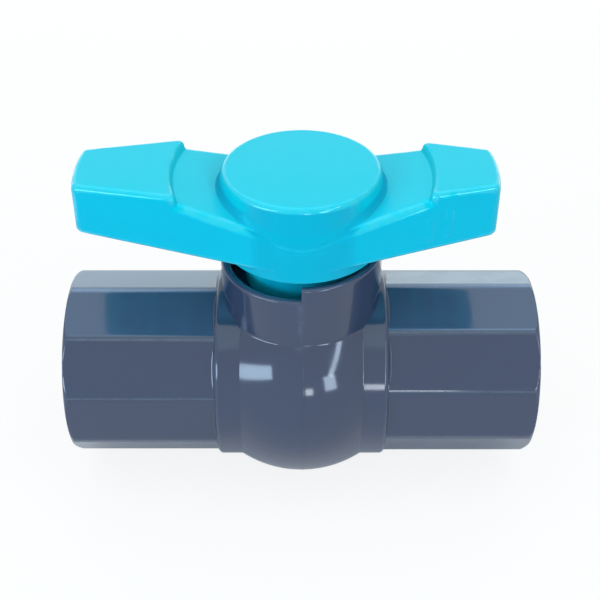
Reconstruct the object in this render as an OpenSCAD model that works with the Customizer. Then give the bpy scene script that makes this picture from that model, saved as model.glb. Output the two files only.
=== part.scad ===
// Compact two-port ball valve for solvent-cement pipe, quarter-turn handle.
// The pipe runs along X, the stem along +Z, and the origin is the centre of the ball.
// The handle is drawn along the pipe, which is the open position.

/* [Pipe sockets] */
// Outside diameter of the pipe that goes into each socket
pipe_od = 22; // [18:0.5:26]
// Radial room between pipe and socket for the cement
pipe_fit = 0.15; // [0.05:0.05:0.4]
// Depth of each socket, from its mouth to the pipe stop
socket_depth = 24; // [16:0.5:36]
// Wall of a socket at the middle of a facet
socket_wall = 3.55; // [2.5:0.05:4]
// Number of flat facets round each socket
facet_count = 10; // [8:1:12]
// Turn of the top facet edge, to the front on the left and to the back on the right, in degrees
facet_turn = 2.3; // [0:0.1:6]
// Depth by which the turned outline trims the facet edges
facet_trim = 0.12; // [0.05:0.01:0.3]
// Rounding of the outer edge of a socket's mouth
mouth_round = 1.2; // [0.6:0.1:1.6]
// Lead-in chamfer inside a socket's mouth
mouth_lead = 0.6; // [0.2:0.1:1]
// Thickness of the pipe stop between socket and ball chamber
stop_wall = 1; // [0.6:0.1:3]

/* [Ball and seats] */
// Radius of the ball
ball_r = 12.2; // [11.5:0.1:14]
// Radius of the way through the ball
flow_r = 7.5; // [6:0.1:8]
// Gap between the ball and the wall of its chamber
chamber_gap = 0.4; // [0.2:0.05:1]
// Gap between the ball and the face of a seat
seat_gap = 0.12; // [0.05:0.01:0.3]
// Step from the way through the ball to the bore of the seats
seat_step = 0.1; // [0:0.05:0.4]
// Radial width of a seat ring
seat_width = 3; // [2.4:0.1:3.2]
// Width of the flat front edge of a seat ring
seat_edge = 0.75; // [0.4:0.05:1]
// Thickness of a seat ring behind the ball at its bore
seat_heel = 1.3; // [0.8:0.1:2]
// Play of a seat ring in its carrier
seat_play = 0.05; // [0.02:0.01:0.15]
// Length of a carrier behind its seat ring
carrier_back = 2; // [1.8:0.1:4]
// Step from the front of a seat ring back to the front of its carrier
carrier_step = 0.6; // [0.3:0.1:1]
// Play of a carrier in the ball chamber
carrier_play = 0.08; // [0.03:0.01:0.2]
// Section diameter of the ring behind a seat
backing_d = 1; // [0.8:0.05:1.2]
// Section diameter of the seal ring round a carrier
carrier_seal_d = 1.24; // [1:0.02:1.4]
// Room round a seal ring in its groove
seal_room = 0.03; // [0.02:0.01:0.06]

/* [Housing] */
// Wall of the round housing over the ball chamber
housing_wall = 6.1; // [5:0.1:8]
// Wall of a shoulder ring over the ball chamber
shoulder_wall = 3.2; // [2.5:0.1:4]
// Reach of a shoulder ring past the ball chamber
shoulder_reach = 0.8; // [0.4:0.1:2]
// Rounding of the outer edge of a shoulder ring
shoulder_round = 0.7; // [0.3:0.1:1.2]

/* [Stem] */
// Radius of the stem in its neck
stem_r = 5; // [4:0.1:5.5]
// Running clearance of the stem in its neck
stem_clear = 0.08; // [0.03:0.01:0.1]
// Thickness of the tongue that turns the ball
tongue_t = 4.8; // [3.5:0.1:6]
// Width of the tongue, across the pipe
tongue_w = 10; // [8:0.2:12]
// Play of the tongue in the slot of the ball
tongue_play = 0.1; // [0.05:0.01:0.2]
// Wall of the ball between the slot and the way through
slot_wall = 0.8; // [0.6:0.1:1.2]
// Radius of the flange that keeps the stem in the body
flange_r = 7.2; // [6.6:0.1:8]
// Thickness of that flange
flange_t = 1.8; // [1.2:0.1:3]
// Thickness of the washer on the flange
washer_t = 0.6; // [0.4:0.1:1.2]
// Play of the flange and its washer
washer_play = 0.05; // [0.03:0.01:0.1]
// Length of the neck above the washer
neck_length = 5.9; // [5.4:0.1:9]
// Section diameter of the two seal rings on the stem
stem_seal_d = 1.2; // [1:0.05:1.4]
// Distance between the two seal rings
stem_seal_pitch = 2.5; // [2.1:0.1:3]
// Size across the flats of the square that drives the handle
drive_flat = 7.8; // [6:0.1:8.4]
// Height of the square above the neck
drive_height = 12; // [8:0.2:12.5]

/* [Collar] */
// Outside radius of the collar under the handle
collar_r = 12.85; // [12.4:0.05:13.6]
// Wall of the collar
collar_wall = 1.7; // [1.2:0.1:2]
// Rise of the low half of the collar over the neck
rim_rise = 0.8; // [0.4:0.1:2]
// Height of the stops, from the low half of the collar to the high half
stop_height = 2.3; // [1.5:0.1:4]
// Depth of the ring-shaped cup round the neck
cup_depth = 3.5; // [2:0.1:4]
// Outside radius of the neck inside the cup
neck_r = 8.6; // [8:0.1:9]

/* [Handle] */
// Reach of the long arm from the stem axis
long_reach = 34.5; // [30:0.5:45]
// Reach of the short arm from the stem axis
short_reach = 29.7; // [27:0.5:40]
// Half width of an arm at its end
arm_end_half = 5.9; // [4.5:0.1:7]
// Radius of the hub that the arms run into
hub_r = 12.6; // [12:0.1:14]
// Step from the hub in to the sides of the arms
arm_step = 0.05; // [0.03:0.01:0.2]
// Height of the hub from its underside to the top of the pads
hub_height = 13; // [12:0.2:16]
// Depth of the round boss on top, below the top of the pads
boss_drop = 0.2; // [0:0.1:1]
// Step from the hub in to the round boss on top of it
boss_step = 0.3; // [0.1:0.1:1]
// Rounding of the boss and of the pads
edge_round = 1; // [0.5:0.1:1.5]
// Distance of the inner edge of a pad from the stem axis
pad_start = 19.6; // [18:0.2:22]
// Radius of the hollow inner edge of a pad
pad_hollow_r = 26; // [22:1:40]
// Depth of the valley under the pads, at the stem axis
valley_depth = 6.4; // [5:0.1:7]
// Slope of the valley, in degrees
valley_slope = 16.4; // [12:0.2:18]
// Rise of the underside of an arm, in degrees
arm_rise = 5.7; // [2:0.1:8]
// Height of the underside of an arm over that of the hub, at the stem axis
arm_lift = 1.4; // [0.5:0.1:3]
// Rounding of the lower edge of the hub
hub_round = 0.5; // [0.3:0.1:1]
// Radius of the round foot of the hub inside the collar
foot_r = 8.8; // [8:0.1:9.4]
// Gap between the handle's foot and the top of the neck
foot_gap = 0.3; // [0.2:0.05:0.6]
// Gap between the underside of the hub and the high half of the collar
hub_gap = 0.9; // [0.4:0.1:2]
// Gap of the stop lug to the low rim and to the stops
lug_gap = 0.25; // [0.15:0.05:0.5]
// Step from the outside of the collar in to the outside of the stop lug
lug_step = 0.6; // [0.4:0.1:1]
// Wall round the hollows under the arms
arm_wall = 2.2; // [1.6:0.1:2.6]
// Skin above the hollows under the arms
arm_skin = 2.3; // [1.8:0.1:3]
// Thickness of the ribs between those hollows
rib_t = 1.5; // [1:0.1:2.5]
// Number of hollows along each half of an arm's pad
pad_hollows = 2; // [1:1:3]

/* [Hidden] */
$fn = 96;
// Sides of the small posts and domes that round the arms
post_fn = 32;
// Overshoot of a cut past the face that it opens
cut = 0.5;
body_grey = [0.28, 0.33, 0.42];
handle_cyan = [0.05, 0.78, 0.92];
ball_white = [0.9, 0.9, 0.88];
seat_white = [0.95, 0.95, 0.92];
carrier_grey = [0.42, 0.45, 0.5];
seal_black = [0.08, 0.08, 0.09];
stem_grey = [0.6, 0.62, 0.65];

// Along the pipe, from the ball outwards
socket_r = pipe_od / 2 + pipe_fit;
facet_r = (socket_r + socket_wall) / cos(180 / facet_count);
chamber_r = ball_r + chamber_gap;
seat_sphere_r = ball_r + seat_gap;
seat_in_r = flow_r + seat_step;
seat_out_r = seat_in_r + seat_width;
seat_front = sqrt(pow(seat_sphere_r, 2) - pow(seat_out_r - seat_edge, 2));
seat_back = sqrt(pow(seat_sphere_r, 2) - pow(seat_in_r, 2)) + seat_heel;
chamber_end = seat_back + carrier_back;
stop_end = chamber_end + stop_wall;
body_half = stop_end + socket_depth;
carrier_front = seat_front + carrier_step;
carrier_r = chamber_r - carrier_play;
backing_r = seat_in_r + seat_width / 2;
carrier_seal_x = (seat_back + chamber_end) / 2 - seal_room;
shoulder_r = chamber_r + shoulder_wall;
shoulder_end = chamber_end + shoulder_reach;
housing_r = chamber_r + housing_wall;

// Up the stem, from the ball to the top of the handle
flange_low = ball_r + chamber_gap;
flange_top = flange_low + flange_t;
washer_low = flange_top + washer_play;
neck_low = washer_low + washer_t + washer_play;
neck_top = neck_low + neck_length;
neck_bore_r = stem_r + stem_clear;
seal_mid = (neck_low + neck_top) / 2;
collar_low = neck_top + rim_rise;
collar_high = collar_low + stop_height;
collar_in_r = collar_r - collar_wall;
drive_top = neck_top + drive_height;
foot_low = neck_top + foot_gap;
hub_low = collar_high + hub_gap;
pad_top = hub_low + hub_height;
boss_top = pad_top - boss_drop;
boss_r = hub_r - boss_step;
valley_low = pad_top - valley_depth;
slot_low = flow_r + slot_wall;
// Size of the blocks that cut away a half space
far = 2 * (body_half + long_reach);

// A ring of round section about the X axis, at x, with its section centred at radius r
module seal_about_x(x, r, d) {
    translate([x, 0, 0]) rotate([0, 90, 0]) rotate_extrude() translate([r, 0]) circle(d = d);
}

// A rod along X from x0 to x1
module rod_x(x0, x1, r) {
    translate([x0, 0, 0]) rotate([0, 90, 0]) cylinder(h = x1 - x0, r = r);
}

// A turned outline along X whose far edge is rounded
module rounded_end_x(x0, x1, r, edge) {
    translate([x0, 0, 0]) rotate([0, 90, 0]) rotate_extrude() difference() {
        square([r, x1 - x0]);
        translate([r - edge, x1 - x0 - edge]) difference() {
            square(2 * edge);
            circle(edge);
        }
    }
}

// The right-hand shape, and the same on the left
module both_ends() {
    children();
    mirror([1, 0, 0]) children();
}

// One faceted socket on the +X side, with trimmed facet edges and a rounded mouth
module socket(turn) {
    intersection() {
        rotate([turn, 0, 0]) rotate([0, 90, 0]) cylinder(h = body_half, r = facet_r, $fn = facet_count);
        rounded_end_x(0, body_half, facet_r - facet_trim, mouth_round);
    }
}

// What is bored out of one end: pipe socket, its lead-in and the way through the stop
module end_bore() {
    rod_x(stop_end, body_half + cut, socket_r);
    translate([body_half - mouth_lead, 0, 0]) rotate([0, 90, 0])
        cylinder(h = mouth_lead + cut, r1 = socket_r, r2 = socket_r + mouth_lead + cut);
    rod_x(0, stop_end + cut, seat_in_r);
}

// The collar, with its low half on the left, where the stop lug of the handle runs
module collar() {
    difference() {
        cylinder(h = collar_high, r = collar_r);
        translate([-far, -far / 2, collar_low]) cube([far, far, far]);
        translate([0, 0, neck_top - cup_depth]) difference() {
            cylinder(h = far, r = collar_in_r);
            cylinder(h = cup_depth, r = neck_r);
        }
    }
}

module body() {
    color(body_grey) difference() {
        union() {
            sphere(housing_r);
            both_ends() rounded_end_x(0, shoulder_end, shoulder_r, shoulder_round);
            socket(-facet_turn);
            mirror([1, 0, 0]) socket(facet_turn);
            collar();
        }
        both_ends() end_bore();
        rod_x(-chamber_end, chamber_end, chamber_r);
        cylinder(h = neck_low, r = flange_r + stem_clear);
        cylinder(h = neck_top + cut, r = neck_bore_r);
    }
}

module ball() {
    color(ball_white) difference() {
        sphere(ball_r);
        rod_x(-far, far, flow_r);
        translate([-tongue_t / 2 - tongue_play, -far / 2, slot_low])
            cube([tongue_t + 2 * tongue_play, far, far]);
    }
}

module seat() {
    color(seat_white) difference() {
        rod_x(seat_front, seat_back, seat_out_r);
        rod_x(0, far, seat_in_r);
        sphere(seat_sphere_r);
    }
}

module seat_carrier() {
    backing_depth = backing_d + seal_room;
    color(carrier_grey) difference() {
        rod_x(carrier_front, chamber_end, carrier_r);
        rod_x(0, far, seat_in_r);
        rod_x(0, seat_back, seat_out_r + seat_play);
        difference() {
            rod_x(0, seat_back + backing_depth, backing_r + backing_d / 2 + seal_room);
            rod_x(0, far, backing_r - backing_d / 2 - seal_room);
        }
        difference() {
            rod_x(carrier_seal_x - carrier_seal_d / 2 - seal_room,
                carrier_seal_x + carrier_seal_d / 2 + seal_room, far);
            rod_x(0, far, chamber_r - carrier_seal_d - 2 * seal_room);
        }
    }
}

module seat_backing_ring() {
    color(seal_black) seal_about_x(seat_back + (backing_d + seal_room) / 2, backing_r, backing_d);
}

module carrier_seal() {
    color(seal_black) seal_about_x(carrier_seal_x, chamber_r - seal_room - carrier_seal_d / 2, carrier_seal_d);
}

// Heights of the two seal rings on the stem
function stem_seal_z(upper) = seal_mid + (upper ? 1 : -1) * stem_seal_pitch / 2;
stem_seal_r = neck_bore_r - seal_room - stem_seal_d / 2;

module stem() {
    color(stem_grey) difference() {
        union() {
            translate([-tongue_t / 2, -tongue_w / 2, slot_low + tongue_play])
                cube([tongue_t, tongue_w, flange_low - slot_low]);
            translate([0, 0, flange_low]) cylinder(h = flange_t, r = flange_r);
            translate([0, 0, flange_low]) cylinder(h = neck_top - flange_low, r = stem_r);
            drive_square(flange_low, drive_top, 0);
        }
        for (upper = [false, true]) translate([0, 0, stem_seal_z(upper)]) difference() {
            cylinder(h = stem_seal_d + 2 * seal_room, r = far, center = true);
            cylinder(h = far, r = stem_seal_r - stem_seal_d / 2 - seal_room, center = true);
        }
    }
}

// The square with round corners by which the stem drives the handle
module drive_square(low, top, room) {
    translate([0, 0, low]) intersection() {
        cylinder(h = top - low, r = stem_r + room);
        translate([-drive_flat / 2 - room, -drive_flat / 2 - room, 0])
            cube([drive_flat + 2 * room, drive_flat + 2 * room, top - low]);
    }
}

module stem_thrust_washer() {
    color(seat_white) translate([0, 0, washer_low]) difference() {
        cylinder(h = washer_t, r = flange_r);
        translate([0, 0, -cut]) cylinder(h = washer_t + 2 * cut, r = neck_bore_r);
    }
}

module stem_seal(upper) {
    color(seal_black) translate([0, 0, stem_seal_z(upper)]) rotate_extrude()
        translate([stem_seal_r, 0]) circle(d = stem_seal_d);
}

// The turned middle of the handle: foot, hub and round boss
module handle_middle() {
    rotate_extrude() difference() {
        union() {
            translate([0, foot_low]) square([foot_r, boss_top - foot_low]);
            translate([0, hub_low]) square([hub_r, valley_low - hub_low]);
            translate([0, hub_low]) square([boss_r, boss_top - hub_low]);
        }
        translate([boss_r - edge_round, boss_top - edge_round]) difference() {
            square(2 * edge_round);
            circle(edge_round);
        }
        translate([hub_r - hub_round, hub_low + hub_round]) difference() {
            translate([0, -2 * hub_round]) square(2 * hub_round);
            circle(hub_round);
        }
    }
}

// A post with a domed top, at which an arm's outline turns
module arm_post(x, y) {
    translate([x, y, hub_low]) cylinder(h = hub_height - edge_round, r = edge_round, $fn = post_fn);
    translate([x, y, pad_top - edge_round]) sphere(edge_round, $fn = post_fn);
}

// Places of the posts along an arm's outline, and the direction that its sides face
arm_root_r = hub_r - arm_step - edge_round;
function arm_corner(reach) = let (y = arm_end_half - edge_round) [sqrt(pow(reach - edge_round, 2) - y * y), y];
function arm_lean(reach) =
    let (corner = arm_corner(reach)) atan2(corner[1], corner[0]) + acos(arm_root_r / norm(corner));

// Half width of an arm at the distance x from the stem
function arm_half(reach, x) =
    let (lean = arm_lean(reach)) (hub_r - arm_step) / sin(lean) - x / tan(lean);

// The full height of one arm on the +X side, before it is cut to shape
module arm_blank(reach) {
    corner = arm_corner(reach);
    lean = arm_lean(reach);
    hull() {
        arm_post(reach - edge_round, 0);
        for (side = [-1, 1]) {
            arm_post(corner[0], side * corner[1]);
            arm_post(arm_root_r * cos(lean), side * arm_root_r * sin(lean));
        }
    }
}

// The valley between the boss and one pad
module valley() {
    intersection() {
        translate([pad_start - pad_hollow_r, 0, 0]) cylinder(h = far, r = pad_hollow_r);
        translate([0, -far / 2, valley_low]) rotate([0, -valley_slope, 0]) cube([far, far, far]);
    }
}

// What is left free under one arm, whose underside rises outwards
module under_arm() {
    translate([0, -far / 2, hub_low + arm_lift]) rotate([0, 90 - arm_rise, 0]) cube([far, far, far]);
}

// Hollows under one arm between x0 and x1, one on each side of the middle rib
module arm_hollow(reach, x0, x1, top) {
    for (side = [-1, 1]) translate([0, 0, hub_low]) linear_extrude(top - hub_low)
        polygon([
            [x0, side * rib_t / 2],
            [x1, side * rib_t / 2],
            [x1, side * (arm_half(reach, x1) - arm_wall)],
            [x0, side * (arm_half(reach, x0) - arm_wall)]
        ]);
}

module arm_hollows(reach) {
    inner = hub_r + rib_t;
    pad_in = pad_start + rib_t / 2;
    pad_out = reach - arm_wall - edge_round;
    pitch = (pad_out - pad_in + rib_t) / pad_hollows;
    web_top = valley_low + inner * tan(valley_slope) - arm_skin;
    arm_hollow(reach, inner, pad_start - rib_t / 2, web_top);
    for (i = [0 : pad_hollows - 1])
        arm_hollow(reach, pad_in + i * pitch, pad_in + (i + 1) * pitch - rib_t, pad_top - arm_skin);
}

module arm(reach) {
    difference() {
        arm_blank(reach);
        valley();
        under_arm();
        arm_hollows(reach);
    }
}

// The lug under the hub that meets the two stops of the collar, a quarter turn apart
module stop_lug() {
    intersection() {
        translate([0, 0, collar_low + lug_gap]) difference() {
            cylinder(h = hub_low + hub_round - collar_low - lug_gap, r = collar_r - lug_step);
            cylinder(h = far, r = stem_r + stem_clear, center = true);
        }
        translate([-far - lug_gap, lug_gap, 0]) cube([far, far, far]);
    }
}

module handle() {
    color(handle_cyan) difference() {
        union() {
            arm(short_reach);
            mirror([1, 0, 0]) arm(long_reach);
            handle_middle();
            stop_lug();
        }
        drive_square(foot_low - cut, drive_top + foot_gap, stem_clear);
    }
}

body();
ball();
mirror([1, 0, 0]) seat();  // seat_left
seat();  // seat_right
mirror([1, 0, 0]) seat_carrier();  // seat_carrier_left
seat_carrier();  // seat_carrier_right
mirror([1, 0, 0]) seat_backing_ring();  // seat_backing_ring_left
seat_backing_ring();  // seat_backing_ring_right
mirror([1, 0, 0]) carrier_seal();  // carrier_seal_left
carrier_seal();  // carrier_seal_right
stem();
stem_thrust_washer();
stem_seal(false);  // stem_seal_lower
stem_seal(true);  // stem_seal_upper
handle();
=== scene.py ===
import math

import bmesh
import bpy
from mathutils import Matrix, Vector


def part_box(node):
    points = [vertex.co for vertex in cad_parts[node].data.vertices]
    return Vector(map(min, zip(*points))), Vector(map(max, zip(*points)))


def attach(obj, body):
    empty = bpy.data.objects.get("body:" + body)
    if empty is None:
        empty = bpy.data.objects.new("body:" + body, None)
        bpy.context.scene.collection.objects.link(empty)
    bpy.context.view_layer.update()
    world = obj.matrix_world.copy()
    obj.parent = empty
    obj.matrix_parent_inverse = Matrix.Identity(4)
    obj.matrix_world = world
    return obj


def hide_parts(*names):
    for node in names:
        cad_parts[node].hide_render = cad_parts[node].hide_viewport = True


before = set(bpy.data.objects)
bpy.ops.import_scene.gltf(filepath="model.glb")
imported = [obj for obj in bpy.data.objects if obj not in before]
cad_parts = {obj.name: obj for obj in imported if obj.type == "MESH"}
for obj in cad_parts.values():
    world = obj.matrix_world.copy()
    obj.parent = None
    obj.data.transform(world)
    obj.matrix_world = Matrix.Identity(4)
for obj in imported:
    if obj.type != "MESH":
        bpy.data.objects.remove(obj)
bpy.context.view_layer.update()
scene = bpy.context.scene
scene.view_settings.view_transform = "Standard"
mm = 0.001  # pieces are drawn in millimetres and brought to metres when they are finished
print("frame loaded,", len(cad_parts), "nodes")


def span(node):  # lowest and highest corner of a CAD node, in millimetres
    low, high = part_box(node)
    return low / mm, high / mm


bodyLow, bodyHigh = span("body")
handleLow, handleHigh = span("handle")


# mesh helpers

meshing = {"weld": 0.002, "sharpAngle": 32, "flatWeight": 80}  # weld in millimetres, angle in degrees


def closeShell(bm):
    bmesh.ops.remove_doubles(bm, verts=bm.verts, dist=meshing["weld"])
    bmesh.ops.recalc_face_normals(bm, faces=bm.faces)


def joinShell(target, bm):  # a finished shell goes into the piece that it belongs to
    closeShell(bm)
    part = bpy.data.meshes.new("shell")
    bm.to_mesh(part)
    bm.free()
    target.from_mesh(part)
    bpy.data.meshes.remove(part)


def quarterTurn(steps):
    return [math.pi / 2 * i / steps for i in range(steps + 1)]


def bevel(bm, geom, size, segments, affect="VERTICES"):
    bmesh.ops.bevel(bm, geom=geom, offset=size, offset_type="OFFSET", segments=segments,
                    profile=0.5, affect=affect, material=-1)


def roundedLine(bm, points, corners):  # a closed outline in the XZ plane, with some corners rounded
    verts = [bm.verts.new((x, 0, z)) for x, z in points]
    for a, b in zip(verts, verts[1:] + verts[:1]):
        bm.edges.new((a, b))
    for index, size in corners.items():
        bevel(bm, [verts[index]], size, 5)


def swing(bm, angle):  # about the upright axis
    bmesh.ops.rotate(bm, cent=(0, 0, 0), matrix=Matrix.Rotation(angle, 3, "Z"), verts=bm.verts)


def revolve(bm, axis, angle, steps):  # a full turn closes on itself
    bmesh.ops.spin(bm, geom=bm.verts[:] + bm.edges[:] + bm.faces[:], cent=(0, 0, 0), axis=axis,
                   angle=angle, steps=steps, use_merge=angle == 2 * math.pi)


def ringLoft(bm, angles, stations, spot):  # rings of points, one for each station, drawn out of a circle
    ring = bmesh.ops.create_circle(bm, cap_ends=False, segments=len(angles), radius=1.0)["verts"]
    angleOf = dict(zip(ring, angles))
    edges = bm.edges[:]
    for vert in ring:
        vert.co = spot(angleOf[vert], stations[0])
    for station in stations[1:]:
        grown = bmesh.ops.extrude_edge_only(bm, edges=edges)["geom"]
        ring = {g for g in grown if isinstance(g, bmesh.types.BMVert)}
        nextAngle = {}
        for vert in ring:
            source = [e.other_vert(vert) for e in vert.link_edges if e.other_vert(vert) not in ring][0]
            nextAngle[vert] = angleOf[source]
            vert.co = spot(angleOf[source], station)
        angleOf = nextAngle
        edges = [g for g in grown if isinstance(g, bmesh.types.BMEdge) and ring.issuperset(g.verts)]


def capEnds(bm):
    bmesh.ops.holes_fill(bm, edges=[e for e in bm.edges if e.is_boundary], sides=0)


def finishPiece(name, bm, material, body, nodes):
    bmesh.ops.scale(bm, vec=(mm, mm, mm), verts=bm.verts)
    mesh = bpy.data.meshes.new(name)
    bm.to_mesh(mesh)
    bm.free()
    mesh.shade_smooth()
    mesh.set_sharp_from_angle(angle=math.radians(meshing["sharpAngle"]))
    mesh.materials.append(material)
    piece = bpy.data.objects.new(name, mesh)
    scene.collection.objects.link(piece)
    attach(piece, body)
    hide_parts(*nodes)
    even = piece.modifiers.new("evenFlats", "WEIGHTED_NORMAL")
    even.keep_sharp = True
    even.weight = meshing["flatWeight"]
    return piece


# node helpers

def feed(tree, socket, value):  # the value is another socket or a plain number
    if isinstance(value, bpy.types.NodeSocket):
        tree.links.new(value, socket)
    else:
        socket.default_value = value


def mathNode(tree, operation, first, second=0):
    node = tree.nodes.new("ShaderNodeMath")
    node.operation = operation
    feed(tree, node.inputs[0], first)
    feed(tree, node.inputs[1], second)
    return node.outputs[0]


def spread(tree, value, fromLow, fromHigh, toLow=0, toHigh=1):  # soft step from one range to another
    node = tree.nodes.new("ShaderNodeMapRange")
    node.interpolation_type = "SMOOTHSTEP"
    tree.links.new(value, node.inputs["Value"])
    labels = ("From Min", "From Max", "To Min", "To Max")
    for label, number in zip(labels, (fromLow, fromHigh, toLow, toHigh)):
        node.inputs[label].default_value = number
    return node.outputs["Result"]


def objectAxis(tree, axis, source="Object"):  # one axis of the place, or of the normal
    place = tree.nodes.new("ShaderNodeTexCoord")
    split = tree.nodes.new("ShaderNodeSeparateXYZ")
    tree.links.new(place.outputs[source], split.inputs[0])
    return split.outputs[axis]


def objectDistance(tree, scale):  # distance from the object's origin, with each direction scaled first
    place = tree.nodes.new("ShaderNodeTexCoord")
    stretch = tree.nodes.new("ShaderNodeMapping")
    stretch.inputs["Scale"].default_value = scale
    away = tree.nodes.new("ShaderNodeVectorMath")
    away.operation = "LENGTH"
    tree.links.new(place.outputs["Object"], stretch.inputs["Vector"])
    tree.links.new(stretch.outputs[0], away.inputs[0])
    return away.outputs["Value"]


def objectNoise(tree, scale, detail, rough=0.5):
    place = tree.nodes.new("ShaderNodeTexCoord")
    noise = tree.nodes.new("ShaderNodeTexNoise")
    noise.inputs["Detail"].default_value = detail
    noise.inputs["Roughness"].default_value = rough
    tree.links.new(place.outputs["Object"], noise.inputs["Vector"])
    feed(tree, noise.inputs["Scale"], scale)
    return noise.outputs["Fac"]


def rayShare(tree, kinds):  # 1 for rays of these kinds
    path = tree.nodes.new("ShaderNodeLightPath")
    value = path.outputs[kinds[0]]
    for kind in kinds[1:]:
        value = mathNode(tree, "MAXIMUM", value, path.outputs[kind])
    return value


# camera and studio

studio = {
    "cameraPlace": (-0.22, -148.77, 124.61),
    "cameraTilt": 53.061,
    "sensor": 36,
    "lens": 67.9,
    "floorSize": 3000,
    "floorTone": (0.9, 0.9, 0.9, 1),
    "floorGlow": 0.84,
    "shadeReach": (8, 22),  # beside the pipe line, the floor that the valve mirrors goes from shade to white
    "shadeGlow": (0.05, 0.9),
    "shadeStretch": (0.1, 1, 0),
    "skyLight": 0.75,
    "white": (1, 1, 1, 1),
}
lamps = {  # place and size in millimetres, roll in degrees, power in watts and tint
    "topBox": ((-20, 20, 650), (900, 900), 0, 1.4, (0.65, 0.95, 1)),
    "leftBox": ((-283, -248, 105), (245, 92), 25, 0.62, (0.58, 0.8, 1)),
    "rightStrip": ((228, -247, 218), (34, 260), -43, 0.24, (0.66, 0.82, 1)),
    "rightBox": ((187, -342, 88), (80, 100), 0, 0.2, (0.66, 0.82, 1)),
    "lowSpot": ((52, -396, 50), (48, 44), 0, 0.06, (0.85, 0.92, 1)),
    "backStrip": ((0, 260, 28), (700, 84), 0, 0.21, (0.55, 0.86, 1)),
}


def placeCamera():
    camera = bpy.data.objects.new("camera", bpy.data.cameras.new("camera"))
    camera.location = Vector(studio["cameraPlace"]) * mm
    camera.rotation_euler = (math.radians(studio["cameraTilt"]), 0, 0)
    camera.data.sensor_width = studio["sensor"]
    camera.data.lens = studio["lens"]
    camera.data.clip_start = 10 * mm
    scene.collection.objects.link(camera)
    scene.camera = camera


def floorPaint():  # white card: even white to the eye further out, with the shadow left in it near the valve
    material = bpy.data.materials.new("floorCard")
    material.use_nodes = True
    tree = material.node_tree
    tree.nodes.clear()
    paint = tree.nodes.new("ShaderNodeBsdfDiffuse")
    paint.inputs["Color"].default_value = studio["floorTone"]
    glow = tree.nodes.new("ShaderNodeEmission")
    glow.inputs["Strength"].default_value = 1
    near, far = studio["shadeReach"]
    beside = objectDistance(tree, studio["shadeStretch"])
    even = spread(tree, beside, near * mm, far * mm, *studio["shadeGlow"])
    direct = mathNode(tree, "MULTIPLY", rayShare(tree, ("Is Camera Ray",)), studio["floorGlow"])
    mirrored = mathNode(tree, "MULTIPLY", rayShare(tree, ("Is Glossy Ray", "Is Transmission Ray")), even)
    mix = tree.nodes.new("ShaderNodeMixShader")
    out = tree.nodes.new("ShaderNodeOutputMaterial")
    tree.links.new(mathNode(tree, "MAXIMUM", direct, mirrored), mix.inputs[0])
    tree.links.new(paint.outputs[0], mix.inputs[1])
    tree.links.new(glow.outputs[0], mix.inputs[2])
    tree.links.new(mix.outputs[0], out.inputs["Surface"])
    return material


def layFloor():
    bm = bmesh.new()
    bmesh.ops.create_grid(bm, x_segments=1, y_segments=1, size=studio["floorSize"] / 2 * mm)
    bmesh.ops.translate(bm, vec=(0, 0, bodyLow.z * mm), verts=bm.verts)
    mesh = bpy.data.meshes.new("floor")
    bm.to_mesh(mesh)
    bm.free()
    floor = bpy.data.objects.new("floor", mesh)
    scene.collection.objects.link(floor)
    mesh.materials.append(floorPaint())


def lightRoom():  # soft sky light, plain white where the sky is seen or mirrored, and the lamps
    world = bpy.data.worlds.new("studio")
    world.use_nodes = True
    scene.world = world
    tree = world.node_tree
    tree.nodes.clear()
    sky = tree.nodes.new("ShaderNodeBackground")
    sky.inputs["Color"].default_value = studio["white"]
    sky.inputs["Strength"].default_value = studio["skyLight"]
    seen = tree.nodes.new("ShaderNodeBackground")
    seen.inputs["Color"].default_value = studio["white"]
    seen.inputs["Strength"].default_value = 1
    mix = tree.nodes.new("ShaderNodeMixShader")
    out = tree.nodes.new("ShaderNodeOutputWorld")
    tree.links.new(rayShare(tree, ("Is Camera Ray", "Is Glossy Ray", "Is Transmission Ray")), mix.inputs[0])
    tree.links.new(sky.outputs[0], mix.inputs[1])
    tree.links.new(seen.outputs[0], mix.inputs[2])
    tree.links.new(mix.outputs[0], out.inputs["Surface"])

    for name, (place, size, roll, power, tint) in lamps.items():
        lamp = bpy.data.lights.new(name, "AREA")
        lamp.shape = "RECTANGLE"
        lamp.size, lamp.size_y = size[0] * mm, size[1] * mm
        lamp.energy = power
        lamp.color = tint
        holder = bpy.data.objects.new(name, lamp)
        holder.location = Vector(place) * mm
        aim = (-holder.location).to_track_quat("-Z", "Y").to_matrix()
        holder.rotation_euler = (aim @ Matrix.Rotation(math.radians(roll), 3, "Z")).to_euler()
        scene.collection.objects.link(holder)


placeCamera()
layFloor()
lightRoom()
print("studio ready")


# materials

def newGroup(name, inputs, outputs):
    group = bpy.data.node_groups.new(name, "ShaderNodeTree")
    for label, value in inputs.items():
        socket = group.interface.new_socket(label, in_out="INPUT", socket_type="NodeSocketFloat")
        socket.default_value = value
    for label in outputs:
        group.interface.new_socket(label, in_out="OUTPUT", socket_type="NodeSocketFloat")
    return group, group.nodes.new("NodeGroupInput"), group.nodes.new("NodeGroupOutput")


def skinGroup():  # cloudy tone, uneven gloss and fine grain of a moulded surface
    group, into, out = newGroup("mouldedSkin", {"Cloud": 60, "Grain": 4000}, ("Tone", "Gloss", "Grain"))
    cloud = objectNoise(group, into.outputs["Cloud"], 4, 0.55)
    gloss = objectNoise(group, mathNode(group, "MULTIPLY", into.outputs["Cloud"], 3.3), 3)
    grain = objectNoise(group, into.outputs["Grain"], 2, 0.6)
    group.links.new(spread(group, cloud, 0.3, 0.7), out.inputs["Tone"])
    group.links.new(spread(group, gloss, 0.25, 0.75), out.inputs["Gloss"])
    group.links.new(grain, out.inputs["Grain"])
    return group


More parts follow.
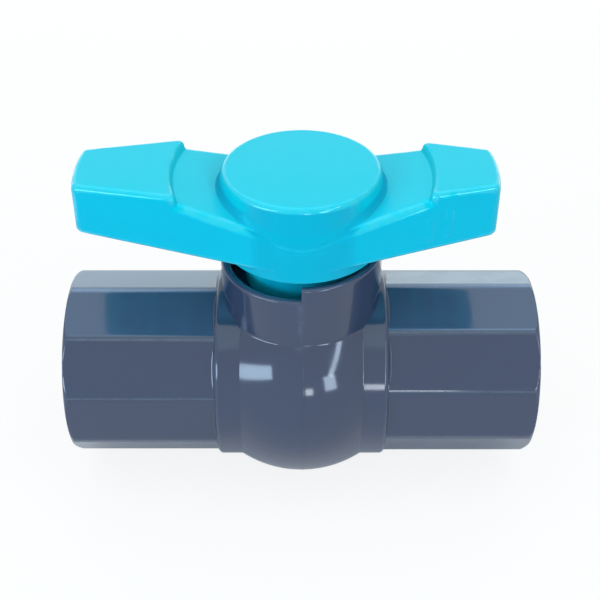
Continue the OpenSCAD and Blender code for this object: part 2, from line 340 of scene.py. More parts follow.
def edgeGroup():  # outer edges that handling has rubbed
    group, into, out = newGroup("rubbedEdge", {"Breakup": 900}, ("Edge",))
    shape = group.nodes.new("ShaderNodeNewGeometry")
    edge = spread(group, shape.outputs["Pointiness"], 0.508, 0.54)
    patchy = spread(group, objectNoise(group, into.outputs["Breakup"], 3, 0.6), 0.35, 0.65, 0.35, 1)
    group.links.new(mathNode(group, "MULTIPLY", edge, patchy), out.inputs["Edge"])
    return group


def lineGroup():  # thin line where the halves of a mould met
    group, into, out = newGroup("mouldLine", {"Along": 0, "Place": 0, "Width": 0.0001}, ("Line",))
    off = mathNode(group, "SUBTRACT", into.outputs["Along"], into.outputs["Place"])
    share = mathNode(group, "DIVIDE", mathNode(group, "ABSOLUTE", off), into.outputs["Width"])
    patchy = spread(group, objectNoise(group, 260, 2), 0.3, 0.6, 0.25, 1)
    line = mathNode(group, "MULTIPLY", spread(group, share, 0, 1, 1, 0), patchy)
    group.links.new(line, out.inputs["Line"])
    return group


def turningGroup():  # fine rings that a cutting tool leaves round an axis
    group, into, out = newGroup("turningMarks", {"Along": 0, "Fine": 6000}, ("Marks",))
    marks = group.nodes.new("ShaderNodeTexNoise")
    marks.noise_dimensions = "1D"
    marks.inputs["Detail"].default_value = 2
    marks.inputs["Roughness"].default_value = 0.7
    group.links.new(into.outputs["Along"], marks.inputs["W"])
    group.links.new(into.outputs["Fine"], marks.inputs["Scale"])
    group.links.new(marks.outputs["Fac"], out.inputs["Marks"])
    return group


mouldedSkin = skinGroup()
rubbedEdge = edgeGroup()
mouldLine = lineGroup()
turningMarks = turningGroup()

finishes = {  # two tones, gloss range, reflection, cloud and grain per metre, grain depth in millimetres
    "bodyGrey": ((0.0212, 0.0386, 0.0828), (0.02, 0.0367, 0.0798), (0.09, 0.14), 0.65, 70, 2600, 0.0008),
    "handleCyan": ((0.0, 0.4, 0.554), (0.0, 0.388, 0.54), (0.07, 0.12), 0.4, 50, 5200, 0.004),
    "ballWhite": ((0.72, 0.73, 0.72), (0.68, 0.69, 0.685), (0.16, 0.24), 0.5, 120, 3000, 0.001),
    "seatWhite": ((0.78, 0.77, 0.72), (0.7, 0.69, 0.64), (0.38, 0.55), 0.4, 200, 7000, 0.008),
    "carrierGrey": ((0.05, 0.065, 0.1), (0.04, 0.055, 0.088), (0.22, 0.36), 0.5, 110, 4000, 0.006),
    "sealRubber": ((0.016, 0.016, 0.017), (0.028, 0.027, 0.026), (0.5, 0.72), 0.4, 260, 9000, 0.02),
    "stemGrey": ((0.06, 0.075, 0.11), (0.05, 0.064, 0.098), (0.2, 0.34), 0.5, 140, 3500, 0.005),
}


class Finish:  # one plastic or rubber, with its nodes ready for extras

    def __init__(self, name):
        light, dark, gloss, reflection, cloud, grain, depth = finishes[name]
        self.material = bpy.data.materials.new(name)
        self.material.use_nodes = True
        self.tree = self.material.node_tree
        self.shader = self.tree.nodes["Principled BSDF"]
        self.shader.inputs["Specular IOR Level"].default_value = reflection
        skin = self.place(mouldedSkin, Cloud=cloud, Grain=grain)
        self.color = self.blend(skin.outputs["Tone"], light, dark)
        self.rough = spread(self.tree, skin.outputs["Gloss"], 0, 1, *gloss)
        self.height = skin.outputs["Grain"]
        self.bump = self.tree.nodes.new("ShaderNodeBump")
        self.bump.inputs["Distance"].default_value = depth * mm

    def place(self, group, **values):
        node = self.tree.nodes.new("ShaderNodeGroup")
        node.node_tree = group
        for label, value in values.items():
            feed(self.tree, node.inputs[label], value)
        return node

    def math(self, operation, first, second=0):
        return mathNode(self.tree, operation, first, second)

    def blend(self, factor, first, second):  # the first colour is a socket or plain, the second is plain
        mix = self.tree.nodes.new("ShaderNodeMix")
        mix.data_type = "RGBA"
        self.tree.links.new(factor, mix.inputs[0])
        feed(self.tree, mix.inputs[6], first if isinstance(first, bpy.types.NodeSocket) else (*first, 1))
        mix.inputs[7].default_value = (*second, 1)
        return mix.outputs[2]

    def paint(self, mask, tone, share=1):  # another tone where the mask is 1
        if share < 1:
            mask = self.math("MULTIPLY", mask, share)
        self.color = self.blend(mask, self.color, tone)

    def done(self):
        self.tree.links.new(self.color, self.shader.inputs["Base Color"])
        self.tree.links.new(self.rough, self.shader.inputs["Roughness"])
        self.tree.links.new(self.height, self.bump.inputs["Height"])
        self.tree.links.new(self.bump.outputs["Normal"], self.shader.inputs["Normal"])
        return self.material


def turnedFinish(name, axis, fine):
    finish = Finish(name)
    marks = finish.place(turningMarks, Along=objectAxis(finish.tree, axis), Fine=fine).outputs["Marks"]
    finish.height = finish.math("ADD", finish.height, marks)
    finish.rough = finish.math("ADD", finish.rough, finish.math("MULTIPLY", marks, 0.08))
    return finish.done()


# pieces inside the body keep the shapes of the frame and get their finishes

seatPlastic = Finish("seatWhite").done()
carrierPlastic = Finish("carrierGrey").done()
rubber = Finish("sealRubber").done()
innerFinish = {
    "ball": turnedFinish("ballWhite", "X", 5200),
    "stem": turnedFinish("stemGrey", "Z", 4200),
    "stem_thrust_washer": seatPlastic,
    "stem_seal_lower": rubber,
    "stem_seal_upper": rubber,
}
for end in ("left", "right"):
    innerFinish["seat_" + end] = seatPlastic
    innerFinish["seat_carrier_" + end] = carrierPlastic
    innerFinish["seat_backing_ring_" + end] = rubber
    innerFinish["carrier_seal_" + end] = rubber
for name, material in innerFinish.items():
    for place in bpy.data.objects[name].material_slots:
        place.material = material
print("inner pieces finished,", len(innerFinish))


# body: round housing, two faceted sockets and the collar, moulded in one piece

bodyShape = {
    "half": bodyHigh.x,
    "housingRadius": -bodyLow.z,
    "highRim": bodyHigh.z,
    "partingRise": 0.07,
    "partingPlace": 0.3,
    "partingWidth": 0.16,
    "partingDepth": 0.3,
    "partingRound": 0.03,
    "shoulderRadius": 15.8,
    "shoulderEnd": 13.8,
    "shoulderRound": 0.7,
    "shoulderFillet": 0.9,
    "shoulderWall": 0.9,
    "shellInside": 15.0,
    "shellOverlap": 0.5,
    "facets": 10,
    "flatReach": 14.7,
    "edgeReach": 15.36,
    "facetRound": 2.8,
    "facetTurn": 2.3,
    "filletSink": 0.1,
    "flatRows": (1.2, 3.4, 7),  # start, pitch and number of the rows along the flats
    "mouthRound": (1.2, 1.05),  # along the pipe and inward
    "bore": 11.15,
    "lead": 0.6,
    "stop": 14.0,
    "stopBack": 13.0,
    "stopWall": 2,
    "wayThrough": 7.6,
    "collarRadius": 12.85,
    "collarInside": 11.15,
    "lowRim": 21.8,
    "rimRound": 0.5,
    "rimInside": 1.1,
    "cupFloor": 17.5,
    "cupRound": 0.5,
    "neckRadius": 8.55,
    "neckTop": 21.0,
    "neckRound": 0.1,
    "stemBore": 5.08,
    "flangeRoom": 7.28,
    "flangeTop": 15.1,
    "footRound": 0.3,
    "footSpread": 0.75,
    "footSink": 0.03,
    "footDepth": 0.6,
    "stopRound": 0.18,
    "lineStart": (13.7, 13.9),  # the light lines between the flats lie on the outside of the sockets
    "lineStop": (37.0, 37.8),
    "lineOut": (13.8, 14.2),
    "linePaint": ((0.053, 0.087, 0.14), 0.8),  # tone and share
    # painted highlight along the topmost edges of the sockets: width, evenness, tone and share
    "crestWidth": 0.09,
    "crestEven": 0.9,
    "crestHighlightPaint": ((0.22, 0.32, 0.48), 0.9),
    # painted light on the upper flats: where it starts and is full, and its tone
    "upperSlope": (0.87, 0.93),
    "upperLightTone": (0.039, 0.073, 0.14),
    "rubbedPaint": ((0.06, 0.095, 0.17), 0.35),
}


def facetGroup():  # lines along the edges between the flats of the two sockets
    s = bodyShape
    inputs = {"Flats": 10, "Turn": 0, "Width": 0.03, "Even": 0}
    group, into, out = newGroup("facetEdges", inputs, ("Edge",))
    x, y, z = [objectAxis(group, axis) for axis in "XYZ"]
    turn = mathNode(group, "MULTIPLY", mathNode(group, "SIGN", x), into.outputs["Turn"])
    angle = mathNode(group, "SUBTRACT", mathNode(group, "ARCTAN2", y, z), turn)
    flats = mathNode(group, "MULTIPLY", angle, into.outputs["Flats"])
    flats = mathNode(group, "DIVIDE", flats, 2 * math.pi)
    off = mathNode(group, "SUBTRACT", flats, mathNode(group, "ROUND", flats))
    share = mathNode(group, "DIVIDE", mathNode(group, "ABSOLUTE", off), into.outputs["Width"])
    line = spread(group, share, 0, 1, 1, 0)
    along = mathNode(group, "ABSOLUTE", x)
    around = objectDistance(group, (0, 1, 1))
    limits = ((along, s["lineStart"], (0, 1)), (along, s["lineStop"], (1, 0)), (around, s["lineOut"], (0, 1)))
    for value, (low, high), ends in limits:
        line = mathNode(group, "MULTIPLY", line, spread(group, value, low * mm, high * mm, *ends))
    patchy = spread(group, objectNoise(group, 420, 3, 0.6), 0.3, 0.6, 0.45, 1)
    patchy = mathNode(group, "MAXIMUM", patchy, into.outputs["Even"])
    group.links.new(mathNode(group, "MULTIPLY", line, patchy), out.inputs["Edge"])
    return group


def bodyFinish():
    s = bodyShape
    finish = Finish("bodyGrey")
    facetEdges = facetGroup()
    flats = {"Flats": s["facets"], "Turn": math.radians(s["facetTurn"])}
    line = finish.place(facetEdges, **flats).outputs["Edge"]
    crestHighlight = finish.place(facetEdges, Width=s["crestWidth"], Even=s["crestEven"], **flats).outputs["Edge"]
    upward = spread(finish.tree, objectAxis(finish.tree, "Z", "Normal"), *s["upperSlope"])
    finish.paint(upward, s["upperLightTone"])  # painted light: upper flats are painted a little paler, standing in for light that comes through the handle
    finish.paint(finish.place(rubbedEdge, Breakup=900).outputs["Edge"], *s["rubbedPaint"])
    finish.paint(line, *s["linePaint"])
    finish.paint(finish.math("MULTIPLY", crestHighlight, upward), *s["crestHighlightPaint"])  # painted highlight: the topmost edges are painted lightest
    return finish.done()


def housingShell(target):
    s = bodyShape
    bm = bmesh.new()
    radius = s["housingRadius"] - s["partingRise"]
    joint = math.sqrt(radius ** 2 - s["shoulderRadius"] ** 2)
    crown = bm.verts.new((-joint, 0, s["shoulderRadius"]))
    bmesh.ops.spin(bm, geom=[crown], cent=(0, 0, 0), axis=(0, 1, 0),
                   angle=2 * math.atan2(joint, s["shoulderRadius"]), steps=56)
    bm.verts.ensure_lookup_table()
    right, left = bm.verts[len(bm.verts) - 1], crown
    end, inner = s["shoulderEnd"], s["flatReach"] - s["shellOverlap"]
    back = end - s["shoulderWall"]
    points = [(end, s["shoulderRadius"]), (end, inner), (back, inner), (back, s["shellInside"])]
    points += [(-x, z) for x, z in reversed(points)]
    verts = [bm.verts.new((x, 0, z)) for x, z in points]
    for a, b in zip([right] + verts, verts + [left]):
        bm.edges.new((a, b))
    for corner in (verts[0], verts[-1]):
        bevel(bm, [corner], s["shoulderRound"], 6)
    revolve(bm, (1, 0, 0), 2 * math.pi, 144)
    joinShell(target, bm)


def partingBand(target):  # the thin line that the two halves of the mould leave round the housing
    s = bodyShape
    bm = bmesh.new()
    top = s["housingRadius"]
    low = top - s["partingDepth"]
    left, right = [s["partingPlace"] + side * s["partingWidth"] / 2 for side in (-1, 1)]
    roundedLine(bm, [(left, low), (right, low), (right, top), (left, top)],
                {2: s["partingRound"], 3: s["partingRound"]})
    revolve(bm, (1, 0, 0), 2 * math.pi, 144)
    joinShell(target, bm)


def socketShell(target, side):
    s = bodyShape
    half = math.pi / s["facets"]
    topEdge = math.pi / 2 - side * math.radians(s["facetTurn"])
    corner = (s["flatReach"] - s["facetRound"]) / math.cos(half)  # middle of the rounding between two flats
    flatEnd = math.atan2((s["flatReach"] - s["facetRound"]) * math.tan(half), s["flatReach"])
    offs = [-half + (half - flatEnd) * i / 4 for i in range(4)]
    offs += [flatEnd * share for share in (-1, -0.9, -0.65, -0.25, 0.25, 0.65, 0.9)]
    offs += [flatEnd + (half - flatEnd) * i / 4 for i in range(4)]
    angles = [topEdge + half + 2 * half * i + off for i in range(s["facets"]) for off in offs]

    # each station is a place along the pipe with the largest and the least reach of the outline there
    edge, fillet, bore = s["edgeReach"], s["shoulderFillet"], s["bore"]
    least = s["flatReach"] - s["filletSink"]
    stations = [(s["stopBack"], edge, least + fillet)]
    for turn in quarterTurn(11):  # the flats run out into a fillet at the shoulder
        stations.append((s["shoulderEnd"] + fillet * (1 - math.cos(turn)), edge,
                         least + fillet * (1 - math.sin(turn))))
    start, pitch, count = s["flatRows"]
    stations += [(s["shoulderEnd"] + start + pitch * i, edge, 0) for i in range(count)]
    deep, drop = s["mouthRound"]
    for turn in quarterTurn(8):
        stations.append((s["half"] - deep * (1 - math.sin(turn)), edge - drop * (1 - math.cos(turn)), 0))
    mouth = bore + s["lead"]
    stations += [(s["half"], mouth + (edge - drop - mouth) * share, 0) for share in (0.9, 0.65, 0.35, 0.1, 0)]
    inward = (s["half"] - s["lead"], s["half"] - 1.2, s["half"] - 4, 26, 18, s["stop"])
    stations += [(x, bore, 0) for x in inward]
    stations += [(s["stop"], s["wayThrough"], 0), (s["stopBack"], s["wayThrough"], 0),
                 (s["stopBack"], bore + s["stopWall"], 0), stations[0]]

    def spot(angle, station):
        place, limit, least = station
        off = abs((angle - topEdge) % (2 * half) - half)
        if off < flatEnd:
            reach = s["flatReach"] / math.cos(off)
        else:
            across = corner * math.sin(half - off)
            reach = corner * math.cos(half - off) + math.sqrt(s["facetRound"] ** 2 - across ** 2)
        reach = min(max(reach, least), limit)
        return side * place, reach * math.cos(angle), reach * math.sin(angle)

    bm = bmesh.new()
    ringLoft(bm, angles, stations, spot)
    joinShell(target, bm)


def collarHalf(target, side, rim):
    s = bodyShape
    radius, inside, neck, stem = s["collarRadius"], s["collarInside"], s["neckRadius"], s["stemBore"]
    sphere = s["housingRadius"] - s["partingRise"]
    footDrop = math.sqrt(sphere ** 2 - radius ** 2)
    skirt = radius + s["footSpread"]
    skirtDrop = math.sqrt((sphere - s["footSink"]) ** 2 - skirt ** 2)
    base = skirtDrop - s["footDepth"]
    points = [(radius, rim), (inside, rim), (inside, s["cupFloor"]), (neck, s["cupFloor"]),
              (neck, s["neckTop"]), (stem, s["neckTop"]), (stem, s["flangeTop"]),
              (s["flangeRoom"], s["flangeTop"]), (s["flangeRoom"], base), (skirt, base),
              (skirt, skirtDrop), (radius, footDrop)]
    points += [(radius, rim - drop) for drop in (6, 2.5, 1)]  # rows that keep the wall's shading even
    corners = {0: s["rimRound"], 1: s["rimInside"], 2: s["cupRound"], 3: s["cupRound"],
               4: s["neckRound"], 5: s["neckRound"], 11: s["footRound"]}
    bm = bmesh.new()
    roundedLine(bm, points, corners)
    bmesh.ops.contextual_create(bm, geom=bm.verts[:] + bm.edges[:])
    swing(bm, -side * math.pi / 2)
    revolve(bm, (0, 0, 1), math.pi, 72)
    closeShell(bm)
    if side > 0:  # the two stop faces stand above the low half, with their edges broken
        high = s["lowRim"] + 0.1
        edges = [e for e in bm.edges if all(abs(v.co.x) < 0.001 and v.co.z > high for v in e.verts)]
        bevel(bm, edges, s["stopRound"], 3, "EDGES")
    joinShell(target, bm)


def buildBody():
    bm = bmesh.new()
    housingShell(bm)
    partingBand(bm)
    for side in (1, -1):
        socketShell(bm, side)
    collarHalf(bm, 1, bodyShape["highRim"])
    collarHalf(bm, -1, bodyShape["lowRim"])
    return finishPiece("valveBody", bm, bodyFinish(), "valve_body", ["body"])


valveBody = buildBody()
print("body built,", len(valveBody.data.polygons), "faces")


# handle: hub with a round boss, two arms with raised pads, foot and stop lug

handleShape = {
    "longReach": -handleLow.x,
    "shortReach": handleHigh.x + 0.25,
    "padTop": handleHigh.z,
    "footLow": handleLow.z,
    "hubRadius": handleHigh.y,
    "hubLow": 25.0,
    "hubRound": 0.5,
    "hubTop": 30.4,
    "hubEdge": 0.1,
    "hubCore": 11.0,
    "coreSink": 1.5,
    "armStep": 0.05,
    "endHalf": 5.9,
    "padRound": 1.0,
    "webRound": 1.4,
    "lowRound": 0.6,
    "endShares": (0.75, 0.6),  # how much of the end rounding the sides and the underside take
    "padStarts": (19.85, 19.5),
    "padWall": 0.1,
    "padEdge": 0.85,
    "padHollow": 26.0,
    "hollowFade": (1.2, 5),
    "endFade": (7, 1.2),
    "cornerTurn": 1.4,
    "valleyLow": 31.65,
    "valleySlope": 14.9,
    "valleySoft": 1.8,
    "armLift": 1.1,
    "armRise": 6.2,
    "bossRadius": 12.3,
    "bossTop": 37.97,
    "bossRing": 4,
    "flare": 3.4,
    "flareTurn": 42,
    "flareSink": 0.02,
    "flareEnd": ((-0.4, 0), (-0.6, -1.5)),  # rows that close the flare inside the arms
    "flareRoom": (0.26, 2.6),  # room beside the boss in which the soft step turns into the flare
    "stepWide": 0.3,
    "stepHigh": 1.2,
    "stepFall": 2.1,
    "footRadius": 8.95,
    "footBlend": 2.0,
    "skirtInside": 8.65,
    "skirtLow": 18.3,
    "skirtEdge": 0.1,
    "squareHalf": 3.98,
    "squareCorner": 5.08,
    "squareTop": 33.3,
    "wall": 2.2,
    "skin": 2.3,
    "rib": 1.5,
    "padHollows": 2,
    "hollowDepth": 1.2,
    "lugLow": 22.05,
    "lugRadius": 12.25,
    "lugRound": 0.3,
    "lugGap": 0.25,
    "lugSink": (1.0, 0.6),  # into the foot and into the hub
    "beads": ((19.1, 29.6, 34.3), (21.95, 30.1, 35.4)),  # place, lower and upper end
    "beadSize": (1.2, 0.5, 1.3),
    "beadSink": 0.4,
    "seamHeight": 30.4,
    "seamWidth": 0.09,
    # painted shade on the hub and the boss, within the hub zone
    "hubShadeTone": (0.0, 0.345, 0.495),
    "hubZone": (13.0, 13.8),
    "flareZone": (12.3, 12.5),
    "wallZone": (22, 24),
    "wallSlope": (0.5, 0.8),  # slopes are shares of the normal, from where a tone starts to where it is full
    # painted light on the roundings and the pad walls
    "edgeLightSlope": (0.05, 0.55),
    "edgeLightTone": (0.0, 0.49, 0.6),
    # painted sheen on the satin tops
    "flatSlope": (0.78, 0.9),
    "flatSheenTone": (0.008, 0.59, 0.745),
    # painted light on the underside
    "underSlope": (-0.5, -0.9),
    "underLightTone": (0.0, 0.75, 0.88),
    "seamPaint": ((0.0, 0.36, 0.58), 0.3),  # tone and share
    "seamDepth": 3,
    "rubbedPaint": ((0.02, 0.6, 0.76), 0.3),
    "mirrorTone": (0.1, 0.95, 1.0, 1.0),
    "satinSlope": (0.8, 0.62),
    "satinRough": 0.25,
    "glossGrain": 0.35,
    "wallRough": 0.4,
    "polishRough": 0.05,
    "polishStart": (0.02, 0.15),
    "polish": 0.7,
}


def handleFinish():
    s = handleShape
    finish = Finish("handleCyan")
    tree = finish.tree
    finish.shader.inputs["Specular Tint"].default_value = s["mirrorTone"]
    finish.shader.inputs["Coat Roughness"].default_value = s["polishRough"]
    sideways, facing, upward = [objectAxis(tree, axis, "Normal") for axis in "XYZ"]
    reach = objectDistance(tree, (1, 1, 0))

    def zone(limits, start, end):  # by the distance from the stem's axis
        return spread(tree, reach, limits[0] * mm, limits[1] * mm, start, end)

    hubShade = zone(s["hubZone"], 1, 0)
    flare = finish.math("MULTIPLY", hubShade, zone(s["flareZone"], 0, 1))  # foot of the boss
    padWall = spread(tree, finish.math("ABSOLUTE", sideways), *s["wallSlope"])
    padWall = finish.math("MULTIPLY", padWall, zone(s["wallZone"], 1, 0))
    edgeLight = spread(tree, upward, *s["edgeLightSlope"])  # painted light: roundings and pad walls are painted a brighter, fuller cyan
    edgeLight = finish.math("MAXIMUM", edgeLight, padWall)
    # edge light is kept off the foot of the boss, so the painted shade stays darkest there
    edgeLight = finish.math("MULTIPLY", edgeLight, spread(tree, flare, 0, 1, 1, 0))
    start, full = s["satinSlope"]  # the front and the back are glossy, the rest is satin
    satin = spread(tree, finish.math("ABSOLUTE", facing), full, start, 1, 0)
    satin = finish.math("MAXIMUM", satin, flare)
    # painted shade: the hub and the boss are painted darker
    finish.paint(hubShade, s["hubShadeTone"])
    finish.paint(edgeLight, s["edgeLightTone"])
    finish.paint(spread(tree, upward, *s["flatSlope"]), s["flatSheenTone"])  # painted sheen: the satin tops are painted paler than the sides
    # painted light: the underside is painted brighter, standing in for light that comes through the thin
    # plastic
    start, full = s["underSlope"]
    finish.paint(spread(tree, upward, full, start, 1, 0), s["underLightTone"])
    finish.rough = finish.math("ADD", finish.rough, finish.math("MULTIPLY", satin, s["satinRough"]))
    finish.rough = finish.math("ADD", finish.rough, finish.math("MULTIPLY", padWall, s["wallRough"]))
    seam = finish.place(mouldLine, Along=objectAxis(tree, "Z"), Place=s["seamHeight"] * mm,
                        Width=s["seamWidth"] * mm).outputs["Line"]
    finish.paint(seam, *s["seamPaint"])
    rubbed = finish.place(rubbedEdge, Breakup=700).outputs["Edge"]
    finish.paint(rubbed, *s["rubbedPaint"])
    calm = spread(tree, finish.math("MAXIMUM", padWall, flare), 0, 1, 1, 0)
    polish = spread(tree, rubbed, *s["polishStart"], 0, s["polish"])
    polish = finish.math("MULTIPLY", polish, calm)
    tree.links.new(polish, finish.shader.inputs["Coat Weight"])  # rubbed edges are polished and glint
    grain = finish.math("MULTIPLY", finish.height, spread(tree, satin, 0, 1, s["glossGrain"], 1))
    finish.height = finish.math("ADD", grain, finish.math("MULTIPLY", seam, s["seamDepth"]))
    return finish.done()


def easing(value, low, high):  # soft step from 0 to 1
    t = min(max((value - low) / (high - low), 0), 1)
    return t * t * (3 - 2 * t)


def bow(y, radius):  # how far an arc falls back beside the middle line
    return math.sqrt(max(radius ** 2 - y ** 2, 0)) - radius


def padRise(off):  # share of a pad's height beside its start: a steep wall with a rounded upper edge
    s = handleShape
    wall, edge = s["padWall"], s["padEdge"]
    height = s["padTop"] - webHeight(s["padStarts"][1])
    if off < wall:
        return max(off + wall, 0) / (2 * wall) * (1 - edge / height)
    back = max(edge + wall - off, 0)
    return 1 + (math.sqrt(edge ** 2 - back ** 2) - edge) / height


def webHeight(x):
    s = handleShape
    return s["valleyLow"] + math.hypot(x, s["valleySoft"]) * math.tan(math.radians(s["valleySlope"]))


def underHeight(x):
    s = handleShape
    return s["hubLow"] + s["armLift"] + abs(x) * math.tan(math.radians(s["armRise"]))


def armLines(reach):  # direction that an arm's sides face, and the radius at which they touch the hub
    s = handleShape
    cornerY = s["endHalf"] - s["padRound"]
    corner = Vector((math.sqrt((reach - s["padRound"]) ** 2 - cornerY ** 2), cornerY))
    radius = s["hubRadius"] - s["armStep"]
    lean = math.atan2(corner.y, corner.x) + math.acos((radius - s["padRound"]) / corner.length)
    return lean, radius


def halfWidth(x, lean, radius):
    if x < radius * math.cos(lean):
        return math.sqrt(radius ** 2 - x ** 2)
    return (radius - x * math.cos(lean)) / math.sin(lean)


def armHollows(reach, padStart):  # start, end and height of the hollows under an arm
    s = handleShape
    first = s["hubRadius"] + s["rib"]
    padIn = padStart + s["rib"] / 2
    pitch = (reach - s["wall"] - s["padRound"] - padIn + s["rib"]) / s["padHollows"]
    rows = [(first, padStart - s["rib"] / 2, webHeight(first) - s["skin"])]
    for i in range(s["padHollows"]):
        rows.append((padIn + i * pitch, padIn + (i + 1) * pitch - s["rib"], s["padTop"] - s["skin"]))
    return rows


def armShell(target, side, reach, padStart):
    s = handleShape
    lean, radius = armLines(reach)
    rows = armHollows(reach, padStart)

    # one ring of an arm: across the top, down one side, back under the arm and up the other side
    down = [("edge", 90 * i / 7) for i in range(1, 8)]
    down += [("side", share) for share in (0.06, 0.2, 0.5, 0.8, 0.94)]
    down += [("low", 90 * i / 4) for i in range(5)]
    down += [("wall", 0), ("rib", 0)]
    columns = [("top", i / 12, 0) for i in range(-12, 13)]
    columns += [(kind, 1, turn) for kind, turn in down]
    columns += [(kind, -1, turn) for kind, turn in reversed(down)]

    wall, edge = s["padWall"], s["padEdge"]
    places = [1.5 * i for i in range(13)] + [x for row in rows for x in row[:2]]
    places += [padStart - 1, padStart - wall, padStart, padStart + wall, padStart + 2, reach - 3]
    places += [padStart + wall + edge * (1 - math.cos(math.radians(10 * i))) for i in range(1, 10)]
    stations = [(x, 0) for x in sorted(places)]
    for turn in quarterTurn(8):  # the rounded end
        stations.append((reach - s["padRound"] * (1 - math.sin(turn)), s["padRound"] * (1 - math.cos(turn))))

    def spot(column, station):
        kind, share, turn = column
        if kind == "side":  # between the upper and the lower rounding
            upper = Vector(spot(("edge", share, 90), station))
            return upper.lerp(Vector(spot(("low", share, 0), station)), turn)
        place, shrink = station
        turn = math.radians(turn)
        rise = padRise(place - padStart)
        near = 1 - easing(abs(place - padStart), *s["hollowFade"])
        far = easing(place, *[reach - back for back in s["endFade"]])
        soft = max(s["webRound"] + rise * (s["padRound"] - s["webRound"]) - shrink, 0)
        sideShare, lowShare = s["endShares"]
        low = max(s["lowRound"] - lowShare * shrink, 0)
        upper = kind in ("top", "edge")
        inset = {"top": soft, "edge": soft * (1 - math.sin(turn)), "low": low * (1 - math.cos(turn)),
                 "wall": s["wall"], "rib": 0}[kind] + sideShare * shrink
        x = place
        for i in range(4):  # the width depends on where the point ends up
            y = s["rib"] / 2 if kind == "rib" else halfWidth(x, lean, radius) - inset
            y *= abs(share)
            x = place + far * bow(y, reach)
            if upper:
                x += near * (bow(y, s["padHollow"]) - bow(max(s["cornerTurn"] - inset, 0), s["cornerTurn"]))
        if upper:
            z = webHeight(x) + rise * (s["padTop"] - webHeight(x)) - shrink
            z -= soft * (1 - math.cos(turn)) if kind == "edge" else 0
        else:
            z = underHeight(x) + lowShare * shrink + (low * (1 - math.sin(turn)) if kind == "low" else 0)
        return x, y if share >= 0 else -y, z

    bm = bmesh.new()
    ringLoft(bm, columns, stations, spot)
    end = [e for e in bm.edges if e.is_boundary and all(v.co.x > reach / 2 for v in e.verts)]
    bmesh.ops.holes_fill(bm, edges=end, sides=0)
    closeShell(bm)
    cap = max(bm.faces, key=lambda f: len(f.verts))
    width = max(v.co.y for v in cap.verts)
    for share in (-9, -6, -3, 0, 3, 6, 9):  # the end face is cut into upright strips
        faces = [f for f in bm.faces if f.normal.x > 0.9]
        parts = set(faces) | {e for f in faces for e in f.edges} | {v for f in faces for v in f.verts}
        bmesh.ops.bisect_plane(bm, geom=list(parts), dist=0.01, plane_co=(0, width * share / 12, 0),
                               plane_no=(0, 1, 0))

    # hollows, in two rows beside a middle rib
    for x0, x1, top in rows:
        for y in (-1, 1):
            cells = []
            for face in bm.faces:
                middle = face.calc_center_median()
                inner = halfWidth(middle.x, lean, radius) - s["wall"]
                if face.normal.z < -0.9 and x0 < middle.x < x1 and s["rib"] / 2 < middle.y * y < inner:
                    if middle.z < underHeight(middle.x) + 0.01:
                        cells.append(face)
            grown = bmesh.ops.extrude_face_region(bm, geom=cells)["geom"]
            bmesh.ops.delete(bm, geom=cells, context="FACES_KEEP_BOUNDARY")
            for vert in [g for g in grown if isinstance(g, bmesh.types.BMVert)]:
                vert.co.z = min(top, underHeight(vert.co.x) + s["hollowDepth"])
    bmesh.ops.scale(bm, vec=(side, 1, 1), verts=bm.verts)
    joinShell(target, bm)


def armsShell(target):
    bm = bmesh.new()
    armShell(bm, 1, handleShape["shortReach"], handleShape["padStarts"][0])
    armShell(bm, -1, handleShape["longReach"], handleShape["padStarts"][1])
    joinShell(target, bm)


def beadShells(target):  # two faint upright beads on the front of the short arm
    s = handleShape
    lean, radius = armLines(s["shortReach"])
    inward = Vector((-math.cos(lean), math.sin(lean), 0)) * s["beadSink"]
    rise = s["beadSize"][2] * math.sqrt(1 - (s["beadSink"] / s["beadSize"][1]) ** 2)  # part that stands out
    for x, low, top in s["beads"]:
        bm = bmesh.new()
        bmesh.ops.create_uvsphere(bm, u_segments=32, v_segments=24, radius=1)
        bmesh.ops.scale(bm, vec=s["beadSize"], verts=bm.verts)
        lower = [v for v in bm.verts if v.co.z < 0.001]
        bmesh.ops.translate(bm, vec=(0, 0, low - top + 2 * rise), verts=lower)
        swing(bm, math.pi / 2 - lean)
        place = Vector((x, -halfWidth(x, lean, radius), top - rise))
        bmesh.ops.translate(bm, vec=place + inward, verts=bm.verts)
        joinShell(target, bm)


def hubShell(target):  # hub and foot, with the square hole for the stem and a thin skirt round the neck
    s = handleShape
    angles = [2 * math.pi * i / 128 for i in range(128)]
    radius, top, edge, core = s["hubRadius"], s["hubTop"], s["hubEdge"], s["hubCore"]
    low, soft, blend = s["hubLow"], s["hubRound"], s["footBlend"]
    foot, inside, skirt = s["footRadius"], s["skirtInside"], s["skirtLow"]
    stations = [(s["bossTop"] - s["coreSink"], core), (top, core)]
    for turn in quarterTurn(5):
        stations.append((top - edge * (1 - math.cos(turn)), radius - edge * (1 - math.sin(turn))))
    stations += [(low + soft + (top - low - soft) * share, radius) for share in (0.9, 0.65, 0.35, 0.1)]
    for turn in quarterTurn(5):
        stations.append((low + soft * (1 - math.sin(turn)), radius - soft * (1 - math.cos(turn))))
    for turn in quarterTurn(6):
        stations.append((low - blend * (1 - math.cos(turn)), foot + blend * (1 - math.sin(turn))))
    stations += [(s["footLow"], foot), (skirt + s["skirtEdge"], foot), (skirt, foot - s["skirtEdge"]),
                 (skirt, inside), (s["footLow"], inside), (s["footLow"], 0), (s["squareTop"], 0)]

    def spot(angle, station):
        place, reach = station
        if reach == 0:  # the square with its corners cut by the stem's own radius
            off = (angle + math.pi / 4) % (math.pi / 2) - math.pi / 4
            reach = min(s["squareHalf"] / math.cos(off), s["squareCorner"])
        return reach * math.cos(angle), reach * math.sin(angle), place

    bm = bmesh.new()
    ringLoft(bm, angles, stations, spot)
    capEnds(bm)
    joinShell(target, bm)


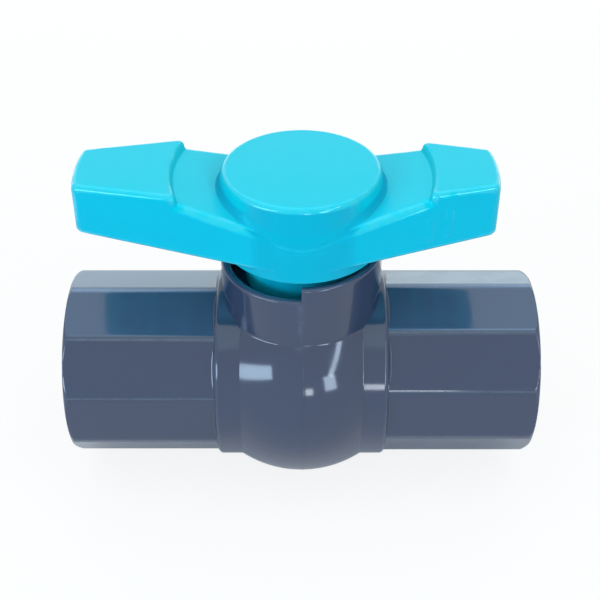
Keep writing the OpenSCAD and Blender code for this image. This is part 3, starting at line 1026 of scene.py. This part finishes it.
def bossShell(target):  # round boss whose foot flares out onto the sloping webs
    s = handleShape
    angles = [2 * math.pi * i / 192 for i in range(192)]
    radius, top, soft = s["bossRadius"], s["bossTop"], s["padRound"]
    last = math.radians(s["flareTurn"])

    # height and reach, or for the flare what is added to them, and the share of the flare or -1
    stations = [(top, radius - soft - s["bossRing"], -1)]
    for turn in quarterTurn(8):
        stations.append((top - soft * (1 - math.cos(turn)), radius - soft * (1 - math.sin(turn)), -1))
    stations += [(0, 0, i / 10) for i in range(11)]
    stations += [(place, reach, 1) for place, reach in s["flareEnd"]]

    def room(angle):  # how far the arm or the hub reaches beyond the boss
        lean, root = armLines(s["shortReach"] if math.cos(angle) > 0 else s["longReach"])
        folded = math.acos(min(abs(math.cos(angle)), 1))
        return root / math.cos(max(lean - folded, 0)) - radius

    def spot(angle, station):
        place, reach, share = station
        if share >= 0:  # a fillet on the arms that turns into a soft step at the front and back
            free = room(angle)
            onArm = easing(free, *s["flareRoom"])
            wide = min(free, s["stepWide"]) * easing(share, 0, 1)
            wide += onArm * (s["flare"] * (1 - math.cos(share * last)) - wide)
            drop = s["stepHigh"] - s["stepFall"] * share
            fall = s["flare"] * (math.sin(last) - math.sin(share * last)) - s["flareSink"]
            drop += onArm * (fall - drop)
            reach += radius + wide
            place += drop + webHeight(reach * math.cos(angle))
        return reach * math.cos(angle), reach * math.sin(angle), place

    bm = bmesh.new()
    ringLoft(bm, angles, stations, spot)
    capEnds(bm)
    joinShell(target, bm)


def lugShell(target):  # quarter ring under the hub that runs between the two stops of the collar
    s = handleShape
    gap = s["lugGap"] / s["lugRadius"]
    inner, outer = s["footRadius"] - s["lugSink"][0], s["lugRadius"]
    low, top = s["lugLow"], s["hubLow"] + s["lugSink"][1]
    bm = bmesh.new()
    roundedLine(bm, [(inner, low), (outer, low), (outer, top), (inner, top)], {1: s["lugRound"]})
    bmesh.ops.contextual_create(bm, geom=bm.verts[:] + bm.edges[:])
    swing(bm, math.pi / 2 + gap)
    revolve(bm, (0, 0, 1), math.pi / 2 - 2 * gap, 32)
    joinShell(target, bm)


def buildHandle():
    bm = bmesh.new()
    armsShell(bm)
    beadShells(bm)
    hubShell(bm)
    bossShell(bm)
    lugShell(bm)
    return finishPiece("turnHandle", bm, handleFinish(), "operator", ["handle"])


turnHandle = buildHandle()
print("handle built,", len(turnHandle.data.polygons), "faces")
